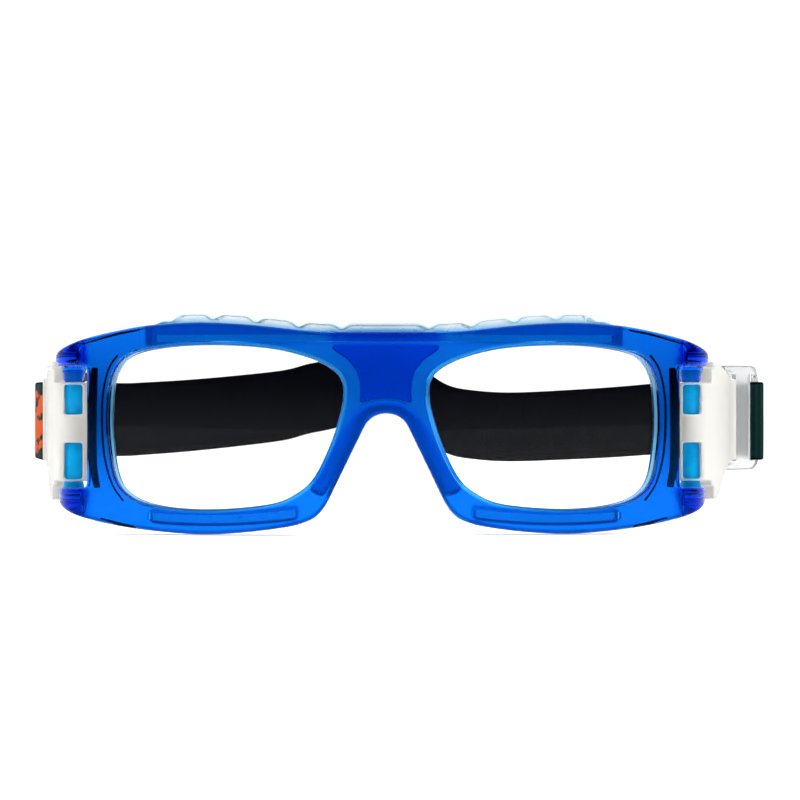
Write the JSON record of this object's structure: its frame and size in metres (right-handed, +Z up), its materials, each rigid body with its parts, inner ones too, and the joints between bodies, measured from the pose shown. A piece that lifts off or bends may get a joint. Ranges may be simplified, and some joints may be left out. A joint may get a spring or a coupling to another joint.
{
  "type": "sports protective goggles",
  "caption": "Wrap-round sports goggles: translucent framed clear lenses on hinged soft side arms, with an elastic head strap through swivelling rings and sliders.",
  "frame": {"origin": "centre plane, on the lenses' mid line, in the plane of the bridge's rear face: the middle of the nose saddle", "axes": "+X across the front, to the right as seen from in front; +Y from the front back towards the strap; +Z up"},
  "size_m": [0.1846, 0.1738, 0.0514],
  "materials": {
    "frame_blue": "translucent moulded polycarbonate, polished",
    "lens_clear": "clear polycarbonate, polished",
    "silicone_clear": "clear soft silicone",
    "arm_frosted": "frosted milky thermoplastic rubber",
    "ring_clear": "smoky clear plastic",
    "slider_black": "moulded black plastic",
    "strap_elastic": "woven elastic webbing"
  },
  "bodies": {
    "front": {"front_frame": "frame_blue", "lens_left": "lens_clear", "lens_right": "lens_clear", "brow_pad": "silicone_clear", "nose_pad": "silicone_clear", "cheek_pad_left": "silicone_clear", "cheek_pad_right": "silicone_clear", "strap_side_left": "strap_elastic", "strap_side_right": "strap_elastic", "strap_tail_left": "strap_elastic", "strap_tail_right": "strap_elastic"},
    "arm_left": {"side_arm_left": "arm_frosted"},
    "ring_left": {"strap_ring_left": "ring_clear"},
    "slider_left": {"strap_slider_left": "slider_black"},
    "arm_right": {"side_arm_right": "arm_frosted"},
    "ring_right": {"strap_ring_right": "ring_clear"},
    "slider_right": {"strap_slider_right": "slider_black"},
    "strap": {"strap_rear": "strap_elastic"}
  },
  "joints": [
    {"name": "arm_left_hinge", "type": "hinge", "parent": "front", "child": "arm_left", "pos_m": [-0.0722, 0.0108, 0], "axis": [0, 0, 1], "range_deg": [-12, 15], "deforming": ["strap_side_left", "strap_tail_left"]},
    {"name": "ring_left_swivel", "type": "hinge", "parent": "arm_left", "child": "ring_left", "pos_m": [-0.07846, 0.03787, 0.0022], "axis": [0, 0, 1], "range_deg": [-15, 30]},
    {"name": "slider_left_travel", "type": "hinge", "parent": "front", "child": "slider_left", "pos_m": [-0.0461, 0.07595, 0.0014], "axis": [0, 0, 1], "range_deg": [-10, 25]},
    {"name": "arm_right_hinge", "type": "hinge", "parent": "front", "child": "arm_right", "pos_m": [0.0722, 0.0108, 0], "axis": [0, 0, -1], "range_deg": [-24, 3], "deforming": ["strap_side_right", "strap_tail_right"]},
    {"name": "ring_right_swivel", "type": "hinge", "parent": "arm_right", "child": "ring_right", "pos_m": [0.08399, 0.03596, 0.0022], "axis": [0, 0, -1], "range_deg": [-35, 10]},
    {"name": "slider_right_travel", "type": "hinge", "parent": "front", "child": "slider_right", "pos_m": [0.05729, 0.0927, 0.0014], "axis": [0, 0, -1], "range_deg": [-9, 21]},
    {"name": "strap_reach", "type": "slide", "parent": "front", "child": "strap", "axis": [0, 1, 0], "range_m": [-0.006, 0.015]}
  ],
  "couplings": [
    {"joint": "slider_left_travel", "follows": "strap_reach", "rad_per_m": 26.316},
    {"joint": "slider_right_travel", "follows": "strap_reach", "rad_per_m": 23.809}
  ]
}
